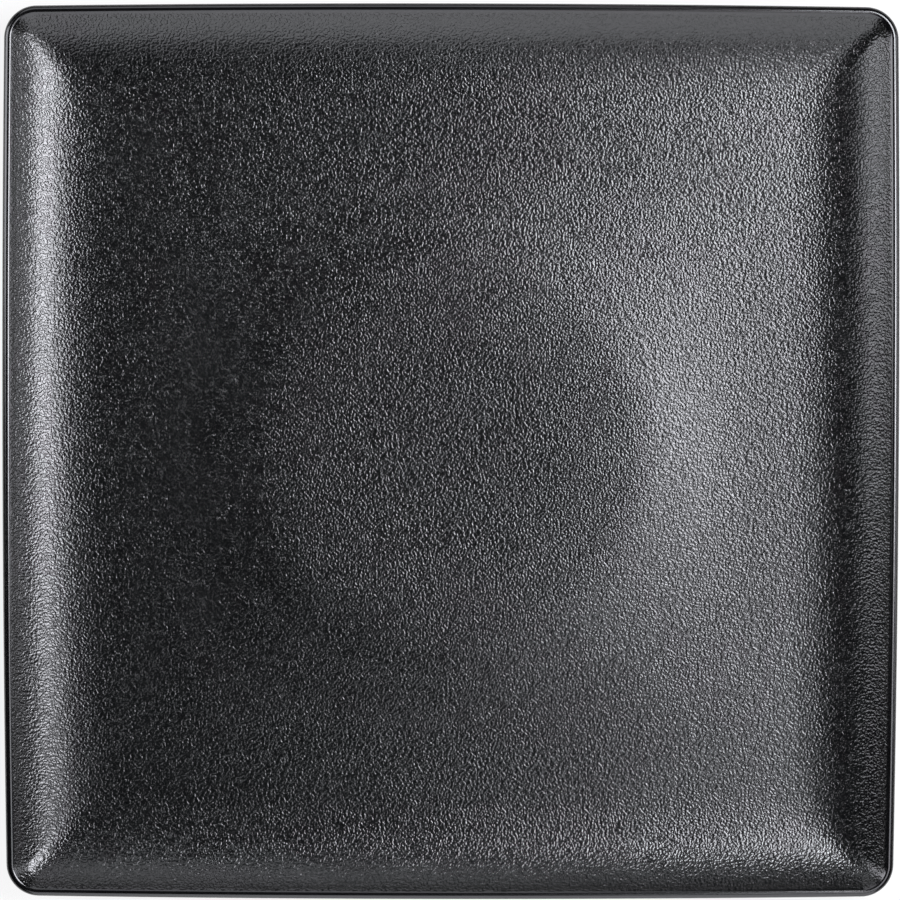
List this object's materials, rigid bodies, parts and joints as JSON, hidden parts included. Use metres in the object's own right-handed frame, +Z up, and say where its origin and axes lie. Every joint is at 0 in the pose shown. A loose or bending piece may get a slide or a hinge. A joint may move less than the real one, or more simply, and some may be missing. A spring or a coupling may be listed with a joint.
{
  "type": "square dinner plate",
  "caption": "Square dinner plate with a low swept wall, rounded lip and gently bowed sides, in stoneware under a textured matte black glaze, on a bare foot ring.",
  "frame": {"origin": "centre of the foot ring, in the plane of the table that the plate stands on", "axes": "+Z up out of the well, +X and +Y square to the plate's sides"},
  "size_m": [0.26, 0.26, 0.017],
  "materials": {
    "bare_stoneware": "matte",
    "textured_black_glaze": "satin",
    "satin_black_glaze": "satin"
  },
  "bodies": {
    "root": {"stoneware_body": "bare_stoneware", "face_glaze": "textured_black_glaze", "skirt_glaze": "satin_black_glaze", "base_glaze": "satin_black_glaze", "centre_glaze": "satin_black_glaze"}
  },
  "joints": []
}
